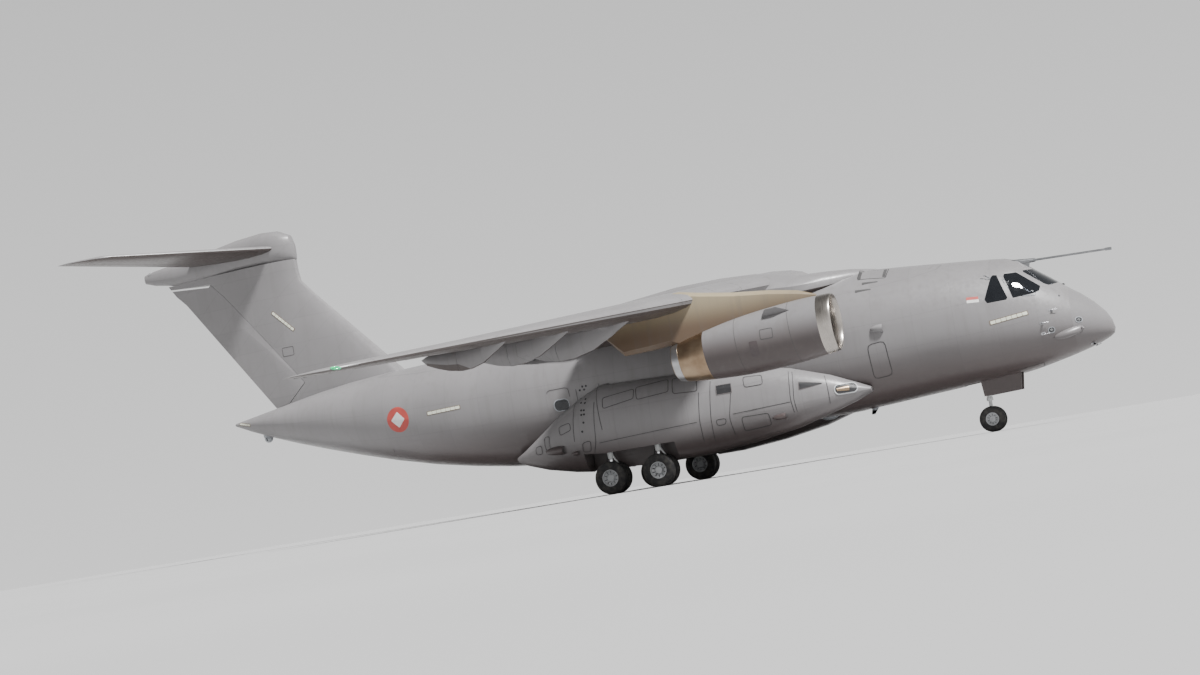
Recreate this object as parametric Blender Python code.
"""Military transport plane: a twin-jet, high-wing, T-tail airlifter parked on its wheels.

Metres, +X forward, +Y to the left wing, +Z up, ground at Z = 0 and X = 0 midway from probe tip to tail.
Places along the plane are stations: metres aft of the nose tip.
"""
import math

import bmesh
import bpy
import numpy as np
from mathutils import Matrix, Vector

# Driving dimensions
LENGTH = 35.20        # nose tip to tail
PROBE_REACH = 0.34    # ahead of the nose tip
PROBE_Y = -0.30
NOSE_X = (LENGTH - PROBE_REACH) / 2
GAP = 0.0003          # between touching solids
CLEAR = 0.008         # round moving panels
WALL = 0.15           # skin, frames and lining together
HULL_SIDES = 32

RADOME_END = 1.20
FRONT_JOINT = 8.60    # forward to centre fuselage
REAR_JOINT = 19.70    # centre to aft fuselage, and the ramp's hinge line
SHELL_END = 29.60     # the aft fuselage is closed behind this
TAIL_TIP = 32.15

FLOOR_TOP = 1.85
FLOOR_DEPTH = 0.16
COCKPIT_FLOOR = 3.52
COCKPIT_REAR = 5.20

RAMP_END = 25.30
RAMP_HALF_WIDTH = 1.50
CARGO_DOOR_END = 29.00
DOOR_LEAN = math.radians(25)    # lean of the cut between ramp and cargo door

WING_Z = 6.15         # leading edge at the centre line
WING_DROOP = 0.098    # fall of the wing per metre of span
INCIDENCE = math.radians(2.5)

ENGINE_Y = 4.88
ENGINE_STATION = 7.87
ENGINE_Z = 4.15
ENGINE_PITCH = math.radians(4.2)
INLET_DROOP = math.radians(5)
DUCT_RADIUS = 0.80
FAN_BLADES = 12

MAIN_TYRE_RADIUS = 0.55
MAIN_LEG_STATIONS = (15.00, 16.70)
MAIN_LEG_Y = 2.46
NOSE_TYRE_RADIUS = 0.42
NOSE_LEG_STATION = 4.30
WHEEL_SIDES = 16


def curve(table):
    """Smooth curve through (station, value) points, with no overshoot."""
    xs, ys = np.array(table, float).T
    step = np.diff(xs)
    slope = np.diff(ys) / step
    tangent = np.concatenate([[slope[0]], np.zeros(len(xs) - 2), [slope[-1]]])
    for i in range(1, len(xs) - 1):
        if slope[i - 1] * slope[i] > 0:
            w1 = 2 * step[i] + step[i - 1]
            w2 = step[i] + 2 * step[i - 1]
            tangent[i] = (w1 + w2) / (w1 / slope[i - 1] + w2 / slope[i])

    def value(x):
        i = int(np.clip(np.searchsorted(xs, x) - 1, 0, len(xs) - 2))
        t = (x - xs[i]) / step[i]
        return ((2 * t ** 3 - 3 * t ** 2 + 1) * ys[i] + (t ** 3 - 2 * t ** 2 + t) * step[i] * tangent[i]
                + (3 * t ** 2 - 2 * t ** 3) * ys[i + 1] + (t ** 3 - t ** 2) * step[i] * tangent[i + 1])
    return value


# Fuselage outline: crown, belly, half width and height of the widest line, by station
CROWN = curve([(0, 2.66), (0.05, 2.93), (0.19, 3.22), (0.5, 3.60), (0.85, 3.93), (1.2, 4.20), (1.9, 4.79),
               (2.26, 5.06), (2.6, 5.36), (3.0, 5.49), (3.4, 5.55), (5.0, 5.73), (6.65, 5.91), (8.0, 6.02),
               (9.5, 6.04), (18.5, 6.04), (20, 5.95), (22, 5.80), (24, 5.75), (26, 5.70), (28, 5.52),
               (30.2, 5.20), (32.15, 4.92)])
BELLY = curve([(0, 2.66), (0.05, 2.50), (0.19, 2.40), (0.5, 2.27), (0.85, 2.16), (1.2, 2.07), (2.05, 1.88),
               (2.9, 1.73), (4.1, 1.65), (5.8, 1.55), (7.45, 1.45), (9, 1.37), (12, 1.34), (18.4, 1.34),
               (19.7, 1.38), (21, 1.52), (22.7, 1.80), (24.5, 2.18), (26.3, 2.68), (28, 3.21), (29.9, 3.86),
               (31.25, 4.39), (32.15, 4.80)])
HALF_WIDTH = curve([(0, 0.0), (0.05, 0.22), (0.19, 0.42), (0.5, 0.72), (0.85, 0.97), (1.2, 1.17), (2.0, 1.53),
                    (2.9, 1.82), (4.1, 2.06), (5.8, 2.24), (7.5, 2.33), (9, 2.36), (19, 2.36), (21, 2.33),
                    (23, 2.22), (25, 2.02), (27, 1.70), (29, 1.24), (31, 0.62), (32.15, 0.12)])
WIDEST_Z = curve([(0, 2.66), (0.5, 2.80), (1.2, 2.98), (2.6, 3.30), (4.1, 3.52), (6, 3.66), (9, 3.70),
                  (18, 3.70), (21, 3.80), (24, 4.02), (27, 4.30), (30, 4.62), (32.15, 4.85)])
BELLY_POWER = curve([(0, 2.0), (1.2, 2.0), (6, 2.25), (9, 2.5), (19.7, 2.5), (24, 2.3), (30, 2.0), (32.15, 2.0)])


def remove_all():
    for ob in list(bpy.data.objects):
        bpy.data.objects.remove(ob)


def paint(name, colour, roughness, metallic=0.0, alpha=1.0):
    mat = bpy.data.materials.new(name)
    mat.use_nodes = True
    shader = mat.node_tree.nodes["Principled BSDF"]
    shader.inputs["Base Color"].default_value = (*colour, 1)
    shader.inputs["Roughness"].default_value = roughness
    shader.inputs["Metallic"].default_value = metallic
    shader.inputs["Alpha"].default_value = alpha
    return mat


def at(station, y, z):
    return Vector((NOSE_X - station, y, z))


def solid(name, bm, mat=None, smooth=40):
    """Object from a bmesh, with its faces turned outward."""
    bmesh.ops.recalc_face_normals(bm, faces=bm.faces)
    if bm.calc_volume(signed=True) < 0:
        bmesh.ops.reverse_faces(bm, faces=bm.faces)
    mesh = bpy.data.meshes.new(name)
    bm.to_mesh(mesh)
    bm.free()
    ob = bpy.data.objects.new(name, mesh)
    bpy.context.collection.objects.link(ob)
    if mat:
        mesh.materials.append(mat)
    if smooth:
        mesh.shade_smooth()
        mesh.set_sharp_from_angle(angle=math.radians(smooth))
    return ob


def skin(bm, rings, start="cap", end="cap"):
    """Quads between rings of points; an end is a cap, or open."""
    rows = [[bm.verts.new(p) for p in ring] for ring in rings]
    for a, b in zip(rows, rows[1:]):
        if len(a) == 1 or len(b) == 1:
            tip, ring = (a[0], b) if len(a) == 1 else (b[0], a)
            for i in range(len(ring)):
                bm.faces.new((tip, ring[i], ring[(i + 1) % len(ring)]))
            continue
        for i in range(len(a)):
            j = (i + 1) % len(a)
            bm.faces.new((a[i], a[j], b[j], b[i]))
    if start == "cap" and len(rows[0]) > 1:
        bm.faces.new(rows[0])
    if end == "cap" and len(rows[-1]) > 1:
        bm.faces.new(rows[-1])
    return rows


def split_quads(bm):
    """Same diagonals in shapes that touch, left and right alike, so that they keep their gap."""
    quads = [f for f in bm.faces if len(f.verts) == 4]
    left = [f for f in quads if f.calc_center_median().y > 0]
    right = [f for f in quads if f.calc_center_median().y <= 0]
    bmesh.ops.triangulate(bm, faces=left, quad_method="FIXED")
    bmesh.ops.triangulate(bm, faces=right, quad_method="ALTERNATE")


def loft(name, rings, mat=None, smooth=40, split=False):
    bm = bmesh.new()
    skin(bm, rings)
    if split:
        split_quads(bm)
    return solid(name, bm, mat, smooth)


def prism(name, outline, low, high, along="Y", mat=None):
    """Outline swept between two planes. The outline is (station, z), (y, z) or (station, y)."""
    def point(a, b, c):
        if along == "Y":
            return at(a, c, b)
        if along == "Z":
            return at(a, b, c)
        return at(c, a, b)
    rings = [[point(a, b, side) for a, b in outline] for side in (low, high)]
    return loft(name, rings, mat, smooth=None)


def box(name, stations, ys, zs, mat=None):
    outline = [(stations[0], zs[0]), (stations[1], zs[0]), (stations[1], zs[1]), (stations[0], zs[1])]
    return prism(name, outline, ys[0], ys[1], "Y", mat)


def turned(name, profile, centre, axis, sides, mat=None, phase=0.0, smooth=40):
    """Solid of revolution: (distance along axis, radius) points from one end of the axis to the other."""
    axis = Vector(axis).normalized()
    across = axis.orthogonal().normalized() if abs(axis.z) > 0.9 else Vector((0, 0, 1)).cross(axis).normalized()
    third = axis.cross(across)
    rings = []
    for distance, radius in profile:
        base = Vector(centre) + axis * distance
        if radius == 0:
            rings.append([base])
            continue
        angles = [phase + 2 * math.pi * i / sides for i in range(sides)]
        rings.append([base + radius * (math.cos(t) * across + math.sin(t) * third) for t in angles])
    return loft(name, rings, mat, smooth)


def ring_body(name, profile, centre, axis, sides, mat=None, smooth=40):
    """Hollow solid of revolution from a closed (distance, radius) profile."""
    axis = Vector(axis).normalized()
    across = Vector((0, 0, 1)).cross(axis).normalized()
    third = axis.cross(across)
    bm = bmesh.new()
    rows = []
    for i in range(sides):
        t = 2 * math.pi * i / sides
        out = math.cos(t) * across + math.sin(t) * third
        rows.append([bm.verts.new(Vector(centre) + axis * d + out * r) for d, r in profile])
    for a, b in zip(rows, rows[1:] + rows[:1]):
        for i in range(len(profile)):
            j = (i + 1) % len(profile)
            bm.faces.new((a[i], a[j], b[j], b[i]))
    return solid(name, bm, mat, smooth)


def bar(name, start, end, radius, sides=12, mat=None, end_radius=None):
    start, end = Vector(start), Vector(end)
    reach = (end - start).length
    last = radius if end_radius is None else end_radius
    return turned(name, [(0, radius), (reach, last)], start, end - start, sides, mat)


def boolean(ob, tool, operation, keep=False):
    """Boolean of a body with another, applied; the tool is used up unless it is kept."""
    mod = ob.modifiers.new("cut", "BOOLEAN")
    mod.operation = operation
    mod.object = tool
    bpy.context.view_layer.update()
    graph = bpy.context.evaluated_depsgraph_get()
    mesh = bpy.data.meshes.new_from_object(ob.evaluated_get(graph), depsgraph=graph)
    ob.modifiers.clear()
    ob.data = mesh
    if not keep:
        bpy.data.objects.remove(tool)
    return ob


def cut(ob, tool, keep=False):
    return boolean(ob, tool, "DIFFERENCE", keep)


def join(ob, *tools):
    for tool in tools:
        boolean(ob, tool, "UNION")
    return ob


def common(ob, tool, keep=False):
    return boolean(ob, tool, "INTERSECT", keep)


def triangulate(ob):
    """Flat triangles only, which a following Boolean reads more surely than bent faces."""
    bm = bmesh.new()
    bm.from_mesh(ob.data)
    bmesh.ops.triangulate(bm, faces=bm.faces)
    bm.to_mesh(ob.data)
    bm.free()


def copy_of(ob, name, mat=None):
    twin = bpy.data.objects.new(name, ob.data.copy())
    bpy.context.collection.objects.link(twin)
    if mat:
        twin.data.materials.clear()
        twin.data.materials.append(mat)
    return twin


def mirrored(ob, name):
    """Copy on the other side of the plane, faces still outward."""
    twin = copy_of(ob, name)
    twin.data.transform(Matrix.Scale(-1, 4, (0, 1, 0)))
    twin.data.flip_normals()
    return twin


def set_origin(ob, point):
    """Moves an object's origin to its joint and leaves its shape in place."""
    point = Vector(point)
    ob.data.transform(Matrix.Translation(-point))
    ob.location = point


# Fuselage

def hull_ring(station, inset=0.0):
    top = CROWN(station) - inset
    bottom = BELLY(station) + inset
    half = HALF_WIDTH(station) - inset
    middle = WIDEST_Z(station)
    power = BELLY_POWER(station)
    ring = []
    for i in range(HULL_SIDES):
        t = 2 * math.pi * (i + 0.5) / HULL_SIDES
        c, s = math.cos(t), math.sin(t)
        if s >= 0:
            ring.append(at(station, half * c, middle + (top - middle) * s))
        else:
            sign = 1 if c >= 0 else -1
            ring.append(at(station, half * sign * abs(c) ** (2 / power),
                           middle - (middle - bottom) * abs(s) ** (2 / power)))
    return ring


def hull_solid(name, stations, inset=0.0, mat=None):
    return loft(name, [hull_ring(s, inset) for s in stations], mat, split=True)


def hull_shell(name, stations, inner, mat, front_open, rear_open):
    """Hollow stretch of fuselage; a closed end is a bulkhead between the outer and inner rings."""
    bm = bmesh.new()
    outer_rows = skin(bm, [hull_ring(s) for s in stations], None, None)
    inner_rows = skin(bm, [hull_ring(s, WALL) for s in inner], None, None)
    split_quads(bm)
    for is_open, a, b in ((front_open, outer_rows[0], inner_rows[0]), (rear_open, outer_rows[-1], inner_rows[-1])):
        if not is_open:
            bm.faces.new(a)
            bm.faces.new(b)
            continue
        for i in range(len(a)):
            j = (i + 1) % len(a)
            bm.faces.new((a[i], a[j], b[j], b[i]))
    return solid(name, bm, mat)


NOSE_RINGS = [0.05, 0.19, 0.5, 0.85, RADOME_END]
FRONT_RINGS = [RADOME_END + GAP + WALL, 1.6, 2.05, 2.6, 3.0, 3.4, 4.4, 5.9, 7.3]
AFT_RINGS = [21.0, 22.5, 24.0, 25.5, 27.0, 28.3]
HULL_RINGS = [RADOME_END] + FRONT_RINGS + [FRONT_JOINT, 12.0, 16.0, REAR_JOINT] + AFT_RINGS
HULL_RINGS += [SHELL_END, 30.6, 31.5, TAIL_TIP]


def hull_tool(inset=-GAP):
    """The whole fuselage, to cut other bodies with."""
    return hull_solid("hull", HULL_RINGS, inset)


def radome(mat):
    rings = [[at(0, 0, 2.66)]] + [hull_ring(s) for s in NOSE_RINGS]
    return loft("radome", rings, mat)


COCKPIT_WINDOWS = {
    "front_side": [(2.83, 4.07), (3.04, 4.84), (3.00, 4.91), (2.64, 4.90), (1.98, 4.33), (2.03, 4.18), (2.20, 4.12)],
    "rear_side": [(3.62, 4.04), (3.69, 4.16), (3.42, 4.87), (3.36, 4.93), (3.24, 4.91), (2.99, 4.12), (3.03, 4.05)],
}
WINDSHIELD = [(0.05, 4.42), (0.86, 4.33), (0.92, 4.39), (0.94, 4.88), (0.88, 4.94), (0.05, 4.98)]


def window_cutters(grow):
    """One prism through the wall for each cockpit window, both sides."""
    tools = []
    for name, outline in COCKPIT_WINDOWS.items():
        centre = np.mean(outline, axis=0)
        wider = [tuple(centre + (np.array(p) - centre) * (1 + grow / 0.35)) for p in outline]
        for side in (1, -1):
            low, high = sorted((side * 0.75, side * 2.6))
            tools.append(prism("window", wider, low, high))
    for side in (1, -1):
        centre = np.mean(WINDSHIELD, axis=0)
        wider = [tuple(centre + (np.array(p) - centre) * (1 + grow / 0.35)) for p in WINDSHIELD]
        outline = [(side * a, b) for a, b in wider]
        tools.append(prism("window", outline, 1.3, 2.95, "X"))
    return tools


def cockpit_glazing(mat):
    """Panes that fill the window cuts, carried by a thin inner frame against the wall."""
    stations = FRONT_RINGS[:7]
    glass = hull_solid("cockpit_glazing", [1.2] + stations, 0.006, mat)
    cut(glass, hull_tool(WALL + 0.03))
    wall = hull_tool(-0.05)
    cut(wall, hull_tool(WALL + GAP))
    for tool in window_cutters(-0.002):
        cut(wall, tool)
    cut(glass, wall)
    triangulate(glass)
    common(glass, prism("band", [(1.40, 3.93), (3.83, 3.93), (3.83, 5.05), (1.40, 5.05)], -3, 3))
    return glass


CREW_DOOR = ((6.42, 7.20), (1.87, 3.75))
PARATROOP_DOOR = ((17.84, 18.66), (1.95, 3.87))


def door_box(edges, side, grow):
    (s0, s1), (z0, z1) = edges
    low, high = sorted((side * 0.9, side * 2.6))
    return box("door box", (s0 - grow, s1 + grow), (low, high), (z0 - grow, z1 + grow))


NOSE_BAY = ((3.05, 5.00), 0.42, 2.70)     # stations, half width and roof of the nose wheel bay


def forward_fuselage(mat, mats):
    start = RADOME_END + GAP
    body = hull_shell("forward_fuselage", [start] + FRONT_RINGS + [FRONT_JOINT],
                      FRONT_RINGS + [FRONT_JOINT], mat, False, True)
    for tool in window_cutters(0.0):
        cut(body, tool)
    crew_door = copy_of(body, "crew_door", mats["paint"])
    common(crew_door, door_box(CREW_DOOR, 1, 0))
    (d0, d1), (sill, _) = CREW_DOOR
    y = hull_side((d0 + d1) / 2, sill)
    for s in (d0 + 0.15, d1 - 0.15):
        join(crew_door, box("hinge lug", (s - 0.03, s + 0.03), (y - 0.13, y - 0.06),
                            (sill - CLEAR + 0.0004, sill + 0.03)))
    cut(body, door_box(CREW_DOOR, 1, CLEAR))
    (s0, s1), half, roof = NOSE_BAY
    bay = box("bay", (s0 - 0.06, s1 + 0.06), (-half - 0.06, half + 0.06), (1.0, roof + 0.06))
    common(bay, hull_tool(0.05))
    join(body, bay)
    cut(body, box("bay hole", (s0, s1), (-half, half), (0.5, roof)))
    set_origin(crew_door, crew_door_axis())
    return body, crew_door


def hull_side(station, z):
    """Outer half width of the fuselage at a height."""
    middle = WIDEST_Z(station)
    if z >= middle:
        part = (z - middle) / (CROWN(station) - middle)
        return HALF_WIDTH(station) * math.sqrt(max(0.0, 1 - part * part))
    power = BELLY_POWER(station)
    part = (middle - z) / (middle - BELLY(station))
    return HALF_WIDTH(station) * max(0.0, 1 - part ** power) ** (1 / power)


def crew_door_axis():
    (s0, s1), (z0, _) = CREW_DOOR
    return at((s0 + s1) / 2, max(hull_side(s0, z0), hull_side(s1, z0)) + 0.01, z0 - 0.005)


def centre_fuselage(mat, mats, wing_cutter):
    start = FRONT_JOINT + GAP
    stations = [start, 12.0, 16.0, REAR_JOINT - GAP]
    body = hull_shell("centre_fuselage", stations, stations, mat, True, True)
    doors = []
    for side, word in ((1, "left"), (-1, "right")):
        door = copy_of(body, "paratroop_door_" + word, mats["paint"])
        common(door, door_box(PARATROOP_DOOR, side, 0))
        cut(body, door_box(PARATROOP_DOOR, side, GAP))
        doors.append(door)
    cut(body, wing_cutter, keep=True)
    return body, doors


def slope_prism(name, base, lean, half, forward, low, high):
    """Half space ahead of (or behind) a leaning plane through base = (station, z)."""
    s, z = base
    run = math.tan(lean)
    edge = [(s - run * (high - z), high), (s - run * (low - z), low)]
    far = s - 9.0 if forward else s + 9.0
    return prism(name, edge + [(far, low), (far, high)], -half, half)


RAMP_TOP_DEPTH = 0.34


def ramp(mat):
    """Loading ramp: the belly behind the floor, flat on top and thick to its skin."""
    stations = [REAR_JOINT + CLEAR] + AFT_RINGS[:4]
    body = hull_solid("ramp", stations, 0.0, mat)
    base = (RAMP_END, BELLY(RAMP_END))
    common(body, slope_prism("ahead", base, DOOR_LEAN, RAMP_HALF_WIDTH, True, 0.5, 3.35))
    room = hull_solid("room", [REAR_JOINT - 0.5] + AFT_RINGS[:4] + [26.5], WALL)
    top_front = FLOOR_TOP
    top_rear = BELLY(RAMP_END) + RAMP_TOP_DEPTH
    rise = (top_rear - top_front) / (RAMP_END - REAR_JOINT)
    above = [(REAR_JOINT - 1, top_front - rise), (27, top_rear + rise * (27 - RAMP_END)), (27, 7), (REAR_JOINT - 1, 7)]
    common(room, prism("above", above, -2.5, 2.5))
    cut(body, room)
    for y in (-0.9, 0.9):
        join(body, box("hinge lug", (REAR_JOINT, REAR_JOINT + 0.05), (y - 0.12, y + 0.12), (1.475, 1.56)))
    set_origin(body, ramp_axis())
    return body


def ramp_axis():
    return at(REAR_JOINT + CLEAR, 0, BELLY(REAR_JOINT) - 0.01)


def cargo_door_axis():
    return at(CARGO_DOOR_END - 0.07, 0, BELLY(CARGO_DOOR_END) + WALL + 0.18)


CARGO_DOOR_HALF = (1.30, 0.72)      # at its front and its rear


def aft_opening(grow, low=0.5, high=4.05):
    """Plan outline of the cargo door's opening."""
    front, rear = CARGO_DOOR_HALF
    s0, s1 = RAMP_END - 1.5, CARGO_DOOR_END + grow
    outline = [(s0, front + grow), (s1, rear + grow), (s1, -rear - grow), (s0, -front - grow)]
    return prism("opening", outline, low, high, "Z")


def aft_fuselage(mat, mats):
    start = REAR_JOINT
    outer = [start] + AFT_RINGS + [SHELL_END, 30.6, 31.5, TAIL_TIP]
    inner = [start] + AFT_RINGS + [CARGO_DOOR_END + 0.25]
    body = hull_shell("aft_fuselage", outer, inner, mat, True, False)
    base = (RAMP_END, BELLY(RAMP_END))
    door = copy_of(body, "cargo_door", mats["paint"])
    common(door, slope_prism("behind", (base[0] + 0.012, base[1]), DOOR_LEAN, 2.5, False, 0.5, 4.0))
    common(door, aft_opening(0.0))
    behind = slope_prism("behind", base, DOOR_LEAN, 2.5, False, 0.5, 4.06)
    common(behind, aft_opening(CLEAR + 0.004))
    ahead = slope_prism("ahead", (base[0] + 0.01, base[1]), DOOR_LEAN, RAMP_HALF_WIDTH + CLEAR, True, 0.5, 3.36)
    cut(body, ahead)
    cut(body, behind)
    axis = cargo_door_axis()
    (front, rear), length = CARGO_DOOR_HALF, CARGO_DOOR_END - RAMP_END + 1.5
    reach = rear + (front - rear) / length * 0.03 + CLEAR + 0.0049
    for side in (1, -1):
        join(door, bar("pin", axis + Vector((0, side * 0.5, 0)), axis + Vector((0, side * reach, 0)), 0.04, 8))
    set_origin(door, axis)
    return body, door


def cargo_floor(mat):
    body = hull_solid("cargo_floor", HULL_RINGS, WALL + GAP, mat)
    common(body, box("slab", (5.30, REAR_JOINT - 0.002), (-3, 3), (FLOOR_TOP - FLOOR_DEPTH, FLOOR_TOP)))
    return body


def cockpit_floor(mat):
    """Flight deck with its rear bulkhead, instrument panel, glare shield and centre stand."""
    body = hull_solid("cockpit_floor", HULL_RINGS, WALL + 0.032, mat)
    rear = COCKPIT_REAR
    common(body, box("room", (1.75, rear), (-3, 3), (COCKPIT_FLOOR - 0.10, 6.5)))
    cut(body, box("cabin", (2.46, rear - 0.08), (-3, 3), (COCKPIT_FLOOR, 8)))
    cut(body, prism("front room", [(1.4, 4.28), (2.50, 4.28), (2.50, 8), (1.4, 8)], -3, 3))
    cut(body, prism("knee room", [(2.14, COCKPIT_FLOOR), (2.50, COCKPIT_FLOOR), (2.50, 4.16), (2.30, 4.16)], -3, 3))
    cut(body, box("doorway", (rear - 0.5, rear + 0.5), (-0.35, 0.35), (COCKPIT_FLOOR, COCKPIT_FLOOR + 1.65)))
    join(body, box("stand", (2.2, 3.35), (-0.2, 0.2), (COCKPIT_FLOOR - 0.02, COCKPIT_FLOOR + 0.42)))
    slab = common(hull_tool(WALL + GAP),
                  box("level", (1.76, rear - 0.01), (-3, 3), (COCKPIT_FLOOR - 0.095, COCKPIT_FLOOR - 0.005)))
    join(body, slab)
    return body


def pilot_seat(name, side, mat):
    y = side * 0.62
    base = COCKPIT_FLOOR + GAP
    seat = box(name, (3.02, 3.46), (y - 0.20, y + 0.20), (base, base + 0.32), mat)
    pan = box("pan", (2.92, 3.50), (y - 0.26, y + 0.26), (base + 0.30, base + 0.46))
    back = prism("back", [(3.42, base + 0.34), (3.56, base + 0.34), (3.72, base + 1.18), (3.60, base + 1.20)],
                 y - 0.25, y + 0.25)
    join(seat, pan, back)
    return seat


# Wing and tail surfaces

FOIL_STEPS = (1.0, 0.9, 0.76, 0.6, 0.44, 0.3, 0.18, 0.09, 0.035, 0.008)
LOWER_STEPS = (0.012, 0.05, 0.12, 0.25, 0.42, 0.6, 0.76, 0.9, 1.0)


def foil(thickness, camber):
    """Wing section as (chord fraction, height fraction) points, upper side first."""
    def half(x):
        return 5 * thickness * (0.2969 * math.sqrt(x) - 0.126 * x - 0.3516 * x * x + 0.2843 * x ** 3
                                - 0.1015 * x ** 4) + 0.0012

    def middle(x):
        return camber * 4 * x * (1 - x)
    upper = [(x, middle(x) + half(x)) for x in FOIL_STEPS]
    lower = [(x, middle(x) - half(x)) for x in LOWER_STEPS]
    return upper + [(0.0, 0.0)] + lower


def wing_edges(y):
    y = abs(y)
    lead = np.interp(y, [0, 16.66, 17.2, 17.52], [9.45, 18.31, 19.02, 19.92])
    trail = np.interp(y, [0, 12.9, 16.66, 17.2, 17.52], [16.40, 18.98, 19.93, 20.08, 20.16])
    return float(lead), float(trail)


def wing_ring(y, grow=0.0):
    lead, trail = wing_edges(y)
    chord = trail - lead
    thickness = float(np.interp(abs(y), [0, 4.9, 16.66, 17.2, 17.52], [0.135, 0.125, 0.105, 0.10, 0.06]))
    z_lead = WING_Z - WING_DROOP * abs(y)
    ring = []
    for i, (x, h) in enumerate(foil(thickness, 0.012)):
        lift = grow * np.sign(len(FOIL_STEPS) - i)
        reach = grow * (1 if x > 0.95 else -1 if x < 0.1 else 0)
        s = lead + chord * (x * math.cos(INCIDENCE) + h * math.sin(INCIDENCE))
        z = z_lead - chord * x * math.sin(INCIDENCE) + h * chord * math.cos(INCIDENCE)
        ring.append(at(s + reach, y, z + lift))
    return ring


WING_STATIONS = [-17.52, -17.2, -16.66, -12.9, 0, 12.9, 16.66, 17.2, 17.52]


def wing_solid(name, mat=None, grow=0.0):
    return loft(name, [wing_ring(y, grow) for y in WING_STATIONS], mat, split=True)


def wing_point(y, fraction, side):
    """Point on the wing's upper (1) or lower (-1) skin, or on its middle (0)."""
    lead, trail = wing_edges(y)
    chord = trail - lead
    thickness = float(np.interp(abs(y), [0, 4.9, 16.66], [0.135, 0.125, 0.105]))
    x = fraction
    half = 5 * thickness * (0.2969 * math.sqrt(x) - 0.126 * x - 0.3516 * x * x + 0.2843 * x ** 3 - 0.1015 * x ** 4)
    h = 0.012 * 4 * x * (1 - x) + side * half
    s = lead + chord * (x * math.cos(INCIDENCE) + h * math.sin(INCIDENCE))
    z = WING_Z - WING_DROOP * abs(y) + chord * (h * math.cos(INCIDENCE) - x * math.sin(INCIDENCE))
    return Vector((s, y, z))


# Flaps: a straight hinge line below the wing, at the bottom of the track fairings
FLAP_ENDS = ((15.16, 2.95), (17.95, 12.80))       # (station, y) of the flap's front face
FLAP_HINGE_Z = (4.384, 4.175)
FLAP_SPLIT = 7.6
FAIRING_Y = (6.9, 9.28, 11.6)


def flap_line(y):
    (s0, y0), (s1, y1) = FLAP_ENDS
    return s0 + (s1 - s0) * (y - y0) / (y1 - y0)


def flap_hinge(y):
    (_, y0), (_, y1) = FLAP_ENDS
    z0, z1 = FLAP_HINGE_Z
    return Vector((flap_line(y), y, z0 + (z1 - z0) * (y - y0) / (y1 - y0)))


def track_fairing(y):
    """Deep canoe under the wing that covers a flap track."""
    lead, trail = wing_edges(y)
    hinge = flap_hinge(y)
    start = wing_point(y, 0.13, -1)
    finish = (trail + 0.12, wing_point(y, 1.0, -1).z - 0.10)
    span_front = hinge.x - start.x
    span_rear = finish[0] - hinge.x
    rings = [[at(start.x, y, start.z + 0.05)]]
    for part, width, depth in ((0.10, 0.05, 0.15), (0.3, 0.10, 0.46), (0.55, 0.15, 0.82), (0.8, 0.18, 0.98),
                               (1.0, 0.19, 1.0)):
        s = start.x + span_front * part
        middle = wing_point(y, (s - lead) / (trail - lead), 0).z
        low = start.z + 0.02 - (start.z + 0.02 - hinge.z - 0.02) * depth
        rings.append(canoe_ring(s, y, width, low, middle))
    for part, width, depth in ((0.3, 0.18, 0.90), (0.6, 0.15, 0.70), (0.85, 0.09, 0.48)):
        s = hinge.x + span_rear * part
        middle = wing_point(y, min(0.93, (s - lead) / (trail - lead)), 0).z
        low = middle - (middle - hinge.z - 0.02) * depth
        rings.append(canoe_ring(s, y, width, low, middle if part < 0.7 else middle - 0.04))
    rings.append([at(finish[0], y, finish[1])])
    return loft("track fairing", rings)


def canoe_ring(s, y, width, low, top):
    middle, half = (low + top) / 2, (top - low) / 2
    angles = [2 * math.pi * (i + 0.5) / 8 for i in range(8)]
    return [at(s, y + width * math.cos(t), middle + half * math.sin(t)) for t in angles]


def across_line(a, b):
    """Unit vectors along a plan line and straight aft of it."""
    along = np.array([b[0] - a[0], b[1] - a[1]])
    along = along / np.linalg.norm(along)
    aft = np.array([along[1], -along[0]])
    return along, aft


def flap_region(y0, y1, front_grow):
    """Plan prism behind the flap line between two spans, its ends square to that line."""
    a, b = (flap_line(y0), y0), (flap_line(y1), y1)
    along, aft = across_line(a, b)
    p0 = np.array(a) - aft * front_grow
    p1 = np.array(b) - aft * front_grow
    reach = 3.2
    return prism("flap region", [tuple(p) for p in (p0, p1, p1 + aft * reach, p0 + aft * reach)], 3.2, 7.0, "Z")


def flap_lug(y):
    """Lug on the flap's front face, just above its hinge, that meets the fixed half of the fairing."""
    hinge = flap_hinge(y)
    along, aft = across_line(*[(flap_line(v), v) for v in (y - 1, y + 1)])
    base = np.array([hinge.x, y])
    front, back = base - aft * (CLEAR - 0.0004), base + aft * 0.04
    outline = [tuple(front - along * 0.06), tuple(front + along * 0.06), tuple(back + along * 0.06),
               tuple(back - along * 0.06)]
    return prism("lug", outline, hinge.z + 0.06, hinge.z + 0.14, "Z")


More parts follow.
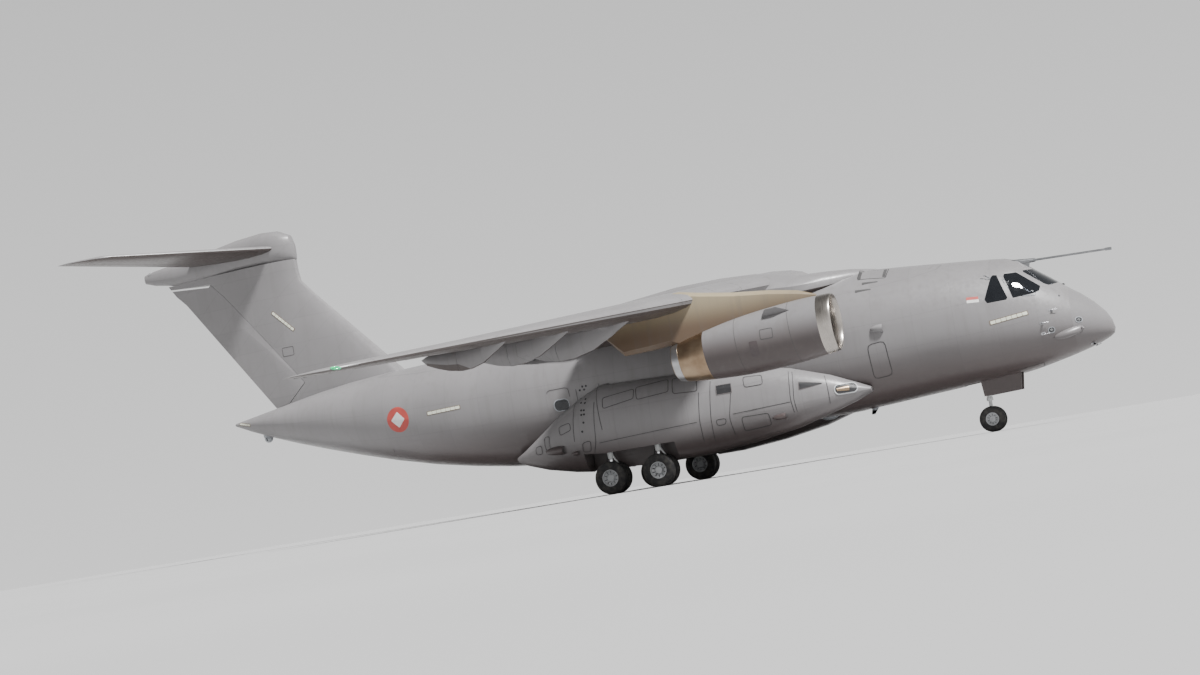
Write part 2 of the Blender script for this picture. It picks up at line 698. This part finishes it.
# Ailerons, elevators and rudder turn about a hinge inside the surface, in a round cove
def hinge_region(hinge_a, hinge_b, radius, reach, depth, grow, normal):
    """Space of a control surface: a block behind the hinge, and the round nose about it."""
    a, b = Vector(hinge_a), Vector(hinge_b)
    along = (b - a).normalized()
    normal = Vector(normal)
    aft = along.cross(normal)
    if aft.x > 0:
        aft = -aft
    aft.normalize()
    up = along.cross(aft).normalized()
    a2, b2 = a - along * grow * 2.0, b + along * grow * 2.0
    rings = []
    for end, reach_here in ((a2, reach[0]), (b2, reach[1])):
        rings.append([end + up * depth, end - up * depth, end - up * depth + aft * reach_here,
                      end + up * depth + aft * reach_here])
    block = loft("block", rings, smooth=None)
    nose_rings = []
    for end, r in ((a2, radius[0] + grow), (b2, radius[1] + grow)):
        angles = [2 * math.pi * i / 16 for i in range(16)]
        nose_rings.append([end + r * (math.cos(t) * aft + math.sin(t) * up) for t in angles])
    nose = loft("nose", nose_rings, smooth=None)
    join(block, nose)
    return block


def hinge_pins(ob, a, b, radius, reach):
    """Stub pins on a surface's hinge line, out to the walls beside it."""
    along = (b - a).normalized()
    for end, way in ((a, -along), (b, along)):
        join(ob, turned("pin", [(-0.12, radius), (reach - 0.0004, radius)], end, way, 8, phase=0.3))


AILERON_HINGE = ((18.38, 13.05), (19.42, 16.35))
AILERON_RADIUS = (0.082, 0.056)


def aileron_points():
    points = []
    for s, y in AILERON_HINGE:
        lead, trail = wing_edges(y)
        points.append(at(s, y, wing_point(y, (s - lead) / (trail - lead), 0).z))
    return points


SLAT_SPANS = {"inboard": (3.10, 4.20), "outboard": (5.60, 16.20)}
SLAT_UPPER, SLAT_LOWER = 0.13, 0.045


def slat_face(y0, y1, y, grow, push=0.0):
    """Upper and lower point of the slat's rear face at a span, and the unit vector straight aft of it."""
    along = Vector((wing_edges(y0)[0] - wing_edges(y1)[0], y1 - y0, 0)).normalized()
    aft = Vector((-along.y, along.x, 0))
    lead, trail = wing_edges(y)
    chord = trail - lead
    base = at(lead, y, WING_Z - WING_DROOP * y) + along * push
    upper = base + aft * (chord * SLAT_UPPER * along.y + grow) + Vector((0, 0, chord * 0.075))
    lower = base + aft * (chord * SLAT_LOWER * along.y + grow) + Vector((0, 0, -chord * 0.05))
    return upper, lower, aft


def slat_lug(y0, y1, part):
    """Track lug on the slat's rear face that meets the wing box."""
    ends = [slat_face(y0, y1, y, 0.0) for y in (y0, y1)]
    upper = ends[0][0].lerp(ends[1][0], part)
    lower = ends[0][1].lerp(ends[1][1], part)
    span = ends[1][1] - ends[0][1]
    normal = span.cross(upper - lower).normalized()
    if normal.dot(ends[0][2]) < 0:
        normal = -normal
    middle = upper.lerp(lower, 0.5)
    reach = CLEAR * normal.dot(ends[0][2]) - 0.0004
    return bar("lug", middle - normal * 0.05, middle + normal * reach, 0.03, 8)


def slat_region(y0, y1, grow):
    """Space ahead of the slat's rear face, ends square to the leading edge."""
    rings = []
    for y, push in ((y0, -grow), (y1, grow)):
        upper, lower, aft = slat_face(y0, y1, y, grow, push)
        tilt = (upper - lower)
        rings.append([upper + tilt, lower - tilt, lower - tilt - aft * 2.0, upper + tilt - aft * 2.0])
    return loft("slat region", rings, smooth=None)


def wing_parts(mats):
    """The wing cut into wing box, slats, flaps and ailerons, with the fairings split at the flap line."""
    wing = wing_solid("wing", mats["paint"])
    for y in FAIRING_Y:
        fairing = track_fairing(y)
        twin = mirrored(fairing, "fairing right")
        join(wing, fairing, twin)
    whole = copy_of(wing, "whole wing")
    (_, y_in), (_, y_out) = FLAP_ENDS
    a, b = aileron_points()
    specs = [("flap_inboard", flap_region(y_in, FLAP_SPLIT - 0.012, 0)),
             ("flap_outboard", flap_region(FLAP_SPLIT + 0.012, y_out, 0)),
             ("aileron", hinge_region(a, b, AILERON_RADIUS, (1.0, 0.75), 0.4, 0.0, (0, 0, 1)))]
    for word, (y0, y1) in SLAT_SPANS.items():
        specs.append(("slat_" + word, slat_region(y0, y1, 0.0)))
    pieces = {}
    for stem, region in specs:
        pieces[stem] = copy_of(whole, stem + "_left", mats["paint"])
        common(pieces[stem], region)
    flap_hole = flap_region(y_in - 0.03, y_out + 0.015, CLEAR)
    hinge_pins(pieces["aileron"], a, b, 0.018, 2 * CLEAR)
    for y in FAIRING_Y:
        join(pieces["flap_inboard" if y < FLAP_SPLIT else "flap_outboard"], flap_lug(y))
    for word, (y0, y1) in SLAT_SPANS.items():
        for i in range(2 if word == "inboard" else 4):
            join(pieces["slat_" + word], slat_lug(y0, y1, (i + 0.5) / (2 if word == "inboard" else 4)))
    holes = [flap_hole, hinge_region(a, b, AILERON_RADIUS, (1.1, 0.85), 0.5, CLEAR, (0, 0, 1))]
    for y0, y1 in SLAT_SPANS.values():
        holes.append(slat_region(y0, y1, CLEAR))
    for hole in holes:
        twin = mirrored(hole, "hole right")
        cut(wing, hole)
        cut(wing, twin)
    bpy.data.objects.remove(whole)
    left = list(pieces.values())
    return wing, left + [mirrored(piece, piece.name.replace("_left", "_right")) for piece in left]


def wing_root_fairing(mat, wing_cutter):
    """Blister over the wing's centre, from ahead of the wing to behind it."""
    table = {7.2: (0.30, 5.70, 5.985), 8.0: (1.00, 5.55, 6.13), 8.8: (1.50, 5.40, 6.20), 9.7: (1.85, 5.30, 6.25),
             10.4: (2.00, 5.20, 6.44), 11.2: (2.12, 5.10, 6.58), 12.4: (2.20, 4.95, 6.66), 14.0: (2.30, 4.80, 6.66),
             16.2: (2.30, 4.75, 6.46), 17.6: (2.28, 4.70, 6.20), 18.9: (2.14, 4.72, 5.90), 19.6: (2.04, 4.86, 5.50),
             20.0: (1.97, 4.98, 5.30)}
    rings = []
    for s, (half, low, top) in table.items():
        middle = low + (top - low) * 0.35
        ring = []
        for i in range(20):
            t = 2 * math.pi * (i + 0.5) / 20
            c, d = math.cos(t), math.sin(t)
            height = (top - middle) if d > 0 else (middle - low)
            ring.append(at(s, half * math.copysign(abs(c) ** 0.8, c), middle + height * math.copysign(abs(d) ** 0.8, d)))
        rings.append(ring)
    body = loft("wing_root_fairing", rings, mat)
    cut(body, hull_tool())
    cut(body, wing_cutter, keep=True)
    return body


# Fin and tailplane

FIN_LEAD = ((24.95, 5.80), (28.68, 9.86))
FIN_TRAIL = ((30.72, 5.72), (34.01, 10.38))
RUDDER_HINGE = ((28.98, 5.90), (32.38, 10.22))
RUDDER_RADIUS = (0.235, 0.27)


def line_at(line, z):
    (s0, z0), (s1, z1) = line
    return s0 + (s1 - s0) * (z - z0) / (z1 - z0)


def fin_ring(z, lead=None, trail=None, thickness=0.115):
    lead = line_at(FIN_LEAD, z) if lead is None else lead
    trail = line_at(FIN_TRAIL, z) if trail is None else trail
    chord = trail - lead
    return [at(lead + chord * x, chord * h, z) for x, h in foil(thickness, 0.0)]


def fin_parts(mat, rudder_mat):
    """Fin with its round cap ahead of the tailplane, and the rudder cut from it."""
    sections = [fin_ring(5.0), fin_ring(7.4), fin_ring(9.2),
                fin_ring(9.75, lead=28.53, thickness=0.118), fin_ring(10.15, lead=28.60, trail=33.95, thickness=0.13),
                fin_ring(10.60, lead=28.62, trail=34.25, thickness=0.145)]
    fin = loft("fin", sections, mat)
    a = at(RUDDER_HINGE[0][0], 0, RUDDER_HINGE[0][1])
    b = at(RUDDER_HINGE[1][0], 0, RUDDER_HINGE[1][1])
    rudder = copy_of(fin, "rudder", rudder_mat)
    region = hinge_region(a, b, RUDDER_RADIUS, (2.2, 2.2), 0.7, 0.0, (0, 1, 0))
    join(region, prism("tip", [(32.39, 10.216), (34.6, 10.45), (35.6, 8.2), (33.6, 8.8), (32.5, 10.0)], -0.69, 0.69))
    common(rudder, region)
    cut(rudder, hull_tool(-0.03))
    hinge_pins(rudder, a, b, 0.04, 2 * CLEAR + 0.008)
    hole = hinge_region(a, b, RUDDER_RADIUS, (2.6, 2.6), 0.8, CLEAR + 0.004, (0, 1, 0))
    join(hole, prism("tip", [(32.27, 10.19), (32.29, 10.32), (34.9, 10.516), (35.9, 8.2), (33.6, 8.6), (32.5, 10.0)],
                     -0.79, 0.79))
    cut(fin, hole)
    cut(fin, hull_tool())
    return fin, rudder


def tail_cutter_ring(y):
    lead, trail = 29.05 + 0.668 * abs(y), 32.85 + 0.31 * abs(y)
    chord = trail - lead
    ring = []
    for x, h in foil(0.10, 0.0):
        dz = chord * h
        ring.append(at(lead + chord * x + (GAP if x > 0.5 else -GAP), y, TAIL_Z + dz + math.copysign(GAP, dz)))
    return ring


def bullet(mat):
    """Fairing on top of the fin that carries the tailplane."""
    table = {28.60: (0.06, 10.58, 11.20), 28.75: (0.24, 10.56, 11.55), 29.2: (0.42, 10.55, 11.78),
             29.9: (0.50, 10.55, 11.84), 31.0: (0.50, 10.55, 11.77), 32.4: (0.46, 10.55, 11.57),
             33.8: (0.36, 10.57, 11.42), 34.8: (0.22, 10.76, 11.32), 35.20: (0.12, 10.90, 11.24)}
    rings = []
    for s, (half, low, top) in table.items():
        middle, high = (low + top) / 2, (top - low) / 2
        angles = [2 * math.pi * (i + 0.5) / 16 for i in range(16)]
        rings.append([at(s, half * math.copysign(abs(math.cos(t)) ** 0.8, math.cos(t)),
                         middle + high * math.copysign(abs(math.sin(t)) ** 0.8, math.sin(t))) for t in angles])
    body = loft("tail_bullet", rings, mat)
    cut(body, box("seat", (28, 36), (-1, 1), (9.5, 10.60 + GAP)))
    return body


TAIL_Z = 11.12


def tail_edges(y):
    lead = float(np.interp(y, [0, 5.72, 6.0, 6.12], [29.05, 32.87, 33.45, 34.1]))
    trail = float(np.interp(y, [0, 6.12], [32.85, 34.75]))
    return lead, trail


def tail_ring(y):
    lead, trail = tail_edges(abs(y))
    chord = trail - lead
    return [at(lead + chord * x, y, TAIL_Z + chord * h) for x, h in foil(0.10 if abs(y) < 5.8 else 0.07, 0.0)]


ELEVATOR_HINGE = ((32.126, 0.86), (33.92, 5.60))
ELEVATOR_RADIUS = (0.118, 0.074)


def tail_parts(mats):
    body = loft("tailplane", [tail_ring(y) for y in (-6.12, -6.0, -5.72, 0, 5.72, 6.0, 6.12)], mats["paint"], split=True)
    a, b = (at(s, y, TAIL_Z) for s, y in ELEVATOR_HINGE)
    elevator = copy_of(body, "elevator_left", mats["paint"])
    common(elevator, hinge_region(a, b, ELEVATOR_RADIUS, (1.5, 1.2), 0.4, 0.0, (0, 0, 1)))
    hinge_pins(elevator, a, b, 0.025, 2 * CLEAR)
    hole = hinge_region(a, b, ELEVATOR_RADIUS, (1.7, 1.4), 0.5, CLEAR, (0, 0, 1))
    twin = mirrored(hole, "hole right")
    cut(body, hole)
    cut(body, twin)
    return body, [elevator, mirrored(elevator, "elevator_right")]


# Engines

def engine_axis():
    return Vector((math.cos(ENGINE_PITCH), 0, math.sin(ENGINE_PITCH)))


def engine_point(distance, y=ENGINE_Y):
    return at(ENGINE_STATION, y, ENGINE_Z) - engine_axis() * distance


COWL_OUTER = [(0.42, 0.925), (0.9, 0.955), (1.7, 0.965), (2.6, 0.945), (3.4, 0.885), (4.15, 0.795)]
ENGINE_SIDES = 24


def droop_front(ob):
    """Leans the inlet so that its top lip leads its bottom lip."""
    origin, axis = engine_point(0), engine_axis()
    up = axis.cross(Vector((0, 1, 0))) * -1
    for v in ob.data.vertices:
        q = v.co - origin
        distance = -q.dot(axis)
        fade = max(0.0, 1 - distance / 0.8)
        v.co += axis * (q.dot(up) * math.tan(INLET_DROOP) * fade)
    return ob


def engine_parts(mats):
    """One engine on the left wing: lip, cowl, nozzle, core block and fan."""
    back = -engine_axis()
    centre = engine_point(0)
    lip_profile = [(0.42, 0.795), (0.20, 0.80), (0.06, 0.825), (0.0, 0.862), (0.05, 0.893), (0.18, 0.912),
                   (0.42, 0.925)]
    lip = droop_front(ring_body("inlet_lip_left", lip_profile, centre, back, ENGINE_SIDES, mats["polished"]))
    cowl_profile = [(d + (GAP if i == 0 else 0), r) for i, (d, r) in enumerate(COWL_OUTER)]
    cowl_profile += [(4.15, 0.715), (3.4, 0.78), (2.0, DUCT_RADIUS), (0.9, DUCT_RADIUS), (0.42 + GAP, 0.795)]
    cowl = droop_front(ring_body("cowl_left", cowl_profile, centre, back, ENGINE_SIDES, mats["paint"]))
    nozzle_profile = [(4.15 + GAP, 0.795), (4.75, 0.70), (5.05, 0.635), (5.30, 0.565), (5.30, 0.545),
                      (4.75, 0.655), (4.15 + GAP, 0.715)]
    nozzle = ring_body("nozzle_left", nozzle_profile, centre, back, ENGINE_SIDES, mats["bronze"])
    seat = DUCT_RADIUS - 0.0005
    core_profile = [(1.25, 0), (1.25, seat), (1.75, seat), (1.80, 0.60), (4.20, 0.50), (4.25, 0.34), (5.10, 0.10),
                    (5.12, 0)]
    core = turned("engine_core_left", core_profile, centre, back, ENGINE_SIDES, mats["dark"])
    hub_profile = [(0.46, 0), (0.50, 0.07), (0.62, 0.16), (0.82, 0.255), (1.2492, 0.27), (1.2492, 0)]
    fan = turned("fan_left", hub_profile, centre, back, 12, mats["fan"])
    blades = fan_blades(centre, back)
    join(fan, blades)
    set_origin(fan, engine_point(1.0))
    return [lip, cowl, nozzle, core, fan]


def fan_blades(centre, back):
    """Twisted plates round the hub."""
    up = back.cross(Vector((0, 1, 0))).normalized()
    side = Vector((0, 1, 0))
    bm = bmesh.new()
    for i in range(FAN_BLADES):
        t = 2 * math.pi * i / FAN_BLADES
        out = math.cos(t) * side + math.sin(t) * up
        round_ = -math.sin(t) * side + math.cos(t) * up
        rings = []
        for radius, lean, half_chord in ((0.24, math.radians(35), 0.15), (0.768, math.radians(60), 0.17)):
            chord = math.cos(lean) * back + math.sin(lean) * round_
            thick = (math.cos(lean) * round_ - math.sin(lean) * back) * 0.008
            middle = centre + back * 1.02 + out * radius
            rings.append([middle - chord * half_chord, middle + thick, middle + chord * half_chord, middle - thick])
        skin(bm, rings)
    return solid("blades", bm)


PYLON = {8.35: (0.03, 4.95, 5.10), 8.9: (0.15, 4.6, 5.32), 9.8: (0.24, 4.3, 5.50), 10.9: (0.28, 4.2, 5.64),
         12.0: (0.30, 4.15, 5.84), 12.7: (0.30, 4.15, 6.00), 13.2: (0.29, 4.36, 5.98), 13.9: (0.25, 4.32, 5.85),
         14.8: (0.16, 4.30, 5.70), 15.2: (0.09, 4.75, 5.50), 15.5: (0.03, 5.10, 5.40)}


def pylon(mat, wing_cutter):
    """Deep fairing from the nacelle to the wing, wrapped over the wing's leading edge."""
    rings = []
    for s, (half, low, top) in PYLON.items():
        edge = min(half * 0.8, 0.14)
        y = ENGINE_Y
        rings.append([at(s, y + a, z) for a, z in (
            (-half, low + edge), (-half * 0.4, low), (half * 0.4, low), (half, low + edge),
            (half, top - edge), (half * 0.55, top - edge * 0.3), (0, top), (-half * 0.55, top - edge * 0.3),
            (-half, top - edge))])
    body = loft("pylon_left", rings, mat)
    profile = [(0.0, 0.0), (0.0, 0.80), (0.05, 0.893), (0.18, 0.912)] + COWL_OUTER
    profile += [(4.75, 0.70), (5.05, 0.635), (5.30, 0.565), (5.30, 0.0)]
    grown = [(d, r + GAP if r else 0) for d, r in profile]
    nacelle = droop_front(turned("nacelle", grown, engine_point(0), -engine_axis(), ENGINE_SIDES))
    cut(body, nacelle)
    cut(body, wing_cutter, keep=True)
    return body


# Sponsons and undercarriage

SPONSON = {7.7: (2.14, 1.94, 2.10, 2.02), 8.2: (2.42, 1.72, 2.36, 2.06), 8.9: (2.66, 1.50, 2.70, 2.12),
           10.15: (2.90, 1.16, 3.14, 2.16), 11.7: (3.03, 0.92, 3.46, 2.20), 13.3: (3.08, 0.78, 3.58, 2.20),
           16.7: (3.08, 0.78, 3.72, 2.20), 17.4: (3.05, 0.84, 3.42, 2.15), 18.1: (2.96, 0.94, 3.08, 2.05),
           19.1: (2.66, 1.16, 2.44, 1.85), 19.9: (2.24, 1.42, 1.96, 1.70), 20.25: (1.96, 1.60, 1.80, 1.70)}
WELL = ((14.25, 17.45), (1.96, 2.96), 2.25)


def sponson(mat):
    """Side fairing with the main wheel well open below."""
    rings = []
    for s, (outer, low, top, wide) in SPONSON.items():
        inner = 1.30
        middle, half = (outer + inner) / 2, (outer - inner) / 2
        ring = []
        for i in range(22):
            t = 2 * math.pi * (i + 0.5) / 22
            c, d = math.cos(t), math.sin(t)
            height = (top - wide) if d > 0 else (wide - low)
            ring.append(at(s, middle + half * math.copysign(abs(c) ** 0.85, c),
                           wide + height * math.copysign(abs(d) ** 0.85, d)))
        rings.append(ring)
    body = loft("sponson_left", rings, mat)
    cut(body, hull_tool())
    (s0, s1), (y0, y1), roof = WELL
    cut(body, box("well", (s0, s1), (y0, y1), (0.2, roof)))
    cut(body, box("beside the ramp", (REAR_JOINT - 0.02, 22), (0, RAMP_HALF_WIDTH + 0.02), (0, 3)))
    return body


def wheel_pair(name, centre, radius, mats):
    """Twin tyres on their rims, joined by the axle sleeve, as one turned body."""
    k = radius
    side = [(0.00, 0.16), (0.20, 0.16), (0.20, 0.74), (0.25, 0.93), (0.38, 1.0), (0.54, 1.0),
            (0.67, 0.93), (0.73, 0.76), (0.66, 0.50), (0.66, 0.0)]
    profile = [(-y * k, r * k) for y, r in reversed(side)] + [(y * k, r * k) for y, r in side[1:]]
    return turned(name, profile, centre, (0, 1, 0), WHEEL_SIDES, mats["tyre"])


def axle_boss(centre, radius, mats):
    """Ring round the wheels' axle, with a running gap."""
    k = radius
    reach = 0.20 * k - 0.0006
    profile = [(-reach, 0.20 * k), (-reach, 0.30 * k), (reach, 0.30 * k), (reach, 0.20 * k)]
    return ring_body("boss", profile, centre, (0, 1, 0), 12, mats["gear"])


def main_leg(name, station, mats):
    """Shock strut with its trunnion, brace and axle boss."""
    centre = at(station, MAIN_LEG_Y, MAIN_TYRE_RADIUS)
    (_, _), (y0, y1), roof = WELL
    top_z = roof - 0.16
    leg = bar(name, at(station, y0 + GAP, top_z), at(station, y1 - GAP, top_z), 0.09, 10, mats["gear"])
    low = MAIN_TYRE_RADIUS + 0.24 * MAIN_TYRE_RADIUS
    join(leg, bar("outer", at(station, MAIN_LEG_Y, top_z), at(station, MAIN_LEG_Y, 1.20), 0.105, 8),
         bar("inner", at(station, MAIN_LEG_Y, 1.25), at(station, MAIN_LEG_Y, low), 0.062, 6),
         axle_boss(centre, MAIN_TYRE_RADIUS, mats),
         bar("brace", at(station + 0.02, MAIN_LEG_Y, 1.32), at(station - 0.62, MAIN_LEG_Y, roof - 0.06), 0.045, 6))
    return cut(leg, hull_tool())


def nose_gear(mats):
    station = NOSE_LEG_STATION
    centre = at(station, 0, NOSE_TYRE_RADIUS)
    (s0, s1), half, roof = NOSE_BAY
    top_z = roof - 0.16
    leg = bar("nose_leg", at(station, -half + GAP, top_z), at(station, half - GAP, top_z), 0.07, 12, mats["gear"])
    join(leg, bar("outer", at(station, 0, top_z), at(station, 0, 1.12), 0.095, 14),
         bar("brace", at(station, 0, 1.45), at(s0 + 0.16, 0, roof - 0.10), 0.04, 10),
         bar("brace pin", at(s0 + 0.16, -half + GAP, roof - 0.10), at(s0 + 0.16, half - GAP, roof - 0.10), 0.035, 10))
    low = NOSE_TYRE_RADIUS + 0.24 * NOSE_TYRE_RADIUS
    fork = bar("nose_fork", at(station, 0, 1.12 - 0.0008), at(station, 0, low), 0.058, 12, mats["gear"])
    join(fork, axle_boss(centre, NOSE_TYRE_RADIUS, mats),
         bar("collar", at(station, 0, 1.1192), at(station, 0, 1.02), 0.11, 14))
    set_origin(fork, centre)
    wheels = wheel_pair("nose_wheels", centre, NOSE_TYRE_RADIUS, mats)
    set_origin(wheels, centre)
    return [leg, fork, wheels]


def nose_doors(mats):
    """Two doors that hang at the sides of the open nose wheel bay."""
    (s0, s1), half, roof = NOSE_BAY
    outline = [(s0 + 0.05, 1.86), (s1 - 0.55, 1.80), (s1 - 0.60, 1.18), (s0 + 0.15, 1.22)]
    left = prism("nose_door_left", outline, half - 0.032, half - GAP, mat=mats["paint"])
    return [left, mirrored(left, "nose_door_right")]


def probe(mat):
    """Refuelling probe above the windshield, in its streamlined root."""
    y = PROBE_Y
    body = bar("refuelling_probe", at(3.05, y, 5.285), at(2.05, y, 5.247), 0.13, 12, mat, 0.06)
    join(body, prism("saddle", [(2.80, 5.30), (2.30, 4.98), (2.22, 5.24), (2.70, 5.31)], y - 0.05, y + 0.05),
         bar("tube", at(2.15, y, 5.251), at(-0.25, y, 5.149), 0.035, 10),
         bar("tip", at(0.20 - PROBE_REACH, y, 5.154), at(-PROBE_REACH, y, 5.145), 0.048, 10))
    cut(body, hull_tool())
    return body


def build():
    remove_all()
    grey = (0.30, 0.30, 0.29)
    mats = {"paint": paint("grey paint", grey, 0.42), "dark": paint("dark metal", (0.10, 0.10, 0.11), 0.5, 0.6),
            "polished": paint("polished lip", (0.80, 0.80, 0.82), 0.15, 1.0),
            "bronze": paint("bronze nozzle", (0.42, 0.30, 0.19), 0.32, 1.0),
            "cream": paint("pylon composite", (0.52, 0.46, 0.34), 0.45),
            "glass": paint("window glass", (0.05, 0.06, 0.07), 0.08, 0.0, 0.5),
            "tyre": paint("tyre rubber", (0.03, 0.03, 0.03), 0.85),
            "gear": paint("gear enamel", (0.75, 0.76, 0.76), 0.4),
            "fan": paint("fan titanium", (0.28, 0.28, 0.30), 0.35, 0.9),
            "inside": paint("cabin lining", (0.45, 0.46, 0.45), 0.7),
            "seat": paint("seat cloth", (0.10, 0.12, 0.14), 0.9),
            "radome": paint("radome paint", (0.32, 0.32, 0.31), 0.5)}
    radome(mats["radome"])
    wing_cutter = wing_solid("wing cutter", grow=GAP)
    forward_fuselage(mats["paint"], mats)
    centre_fuselage(mats["paint"], mats, wing_cutter)
    aft_fuselage(mats["paint"], mats)
    ramp(mats["paint"])
    cargo_floor(mats["inside"])
    cockpit_floor(mats["inside"])
    cockpit_glazing(mats["glass"])
    pilot_seat("pilot_seat_left", 1, mats["seat"])
    pilot_seat("pilot_seat_right", -1, mats["seat"])
    probe(mats["dark"])
    _, panels = wing_parts(mats)
    a, b = aileron_points()
    for panel in panels:
        side = 1 if panel.name.endswith("left") else -1
        if panel.name.startswith("flap"):
            hinge = at(*flap_hinge(FLAP_SPLIT))
            set_origin(panel, Vector((hinge.x, side * hinge.y, hinge.z)))
        elif panel.name.startswith("aileron"):
            middle = (a + b) / 2
            set_origin(panel, Vector((middle.x, side * middle.y, middle.z)))
    wing_root_fairing(mats["paint"], wing_cutter)
    _, rudder = fin_parts(mats["paint"], mats["paint"])
    set_origin(rudder, at(RUDDER_HINGE[0][0], 0, RUDDER_HINGE[0][1]))
    _, elevators = tail_parts(mats)
    fairing = bullet(mats["paint"])
    cut(fairing, loft("tail cutter", [tail_cutter_ring(y) for y in (-6.2, 0, 6.2)]))
    for ob, side in zip(elevators, (1, -1)):
        s, y = ELEVATOR_HINGE[0]
        set_origin(ob, at(s, side * y, TAIL_Z))
    engine = engine_parts(mats)
    engine.append(pylon(mats["cream"], wing_cutter))
    for ob in engine:
        twin = mirrored(ob, ob.name.replace("_left", "_right"))
        twin.location = Vector((ob.location.x, -ob.location.y, ob.location.z))
    bpy.data.objects.remove(wing_cutter)
    side_body = sponson(mats["paint"])
    mirrored(side_body, "sponson_right")
    for place, station in zip(("front", "rear"), MAIN_LEG_STATIONS):
        leg = main_leg("main_leg_" + place + "_left", station, mats)
        mirrored(leg, "main_leg_" + place + "_right")
        for side, word in ((1, "left"), (-1, "right")):
            centre = at(station, side * MAIN_LEG_Y, MAIN_TYRE_RADIUS)
            wheels = wheel_pair("main_wheels_" + place + "_" + word, centre, MAIN_TYRE_RADIUS, mats)
            set_origin(wheels, centre)
    nose_gear(mats)
    nose_doors(mats)


build()
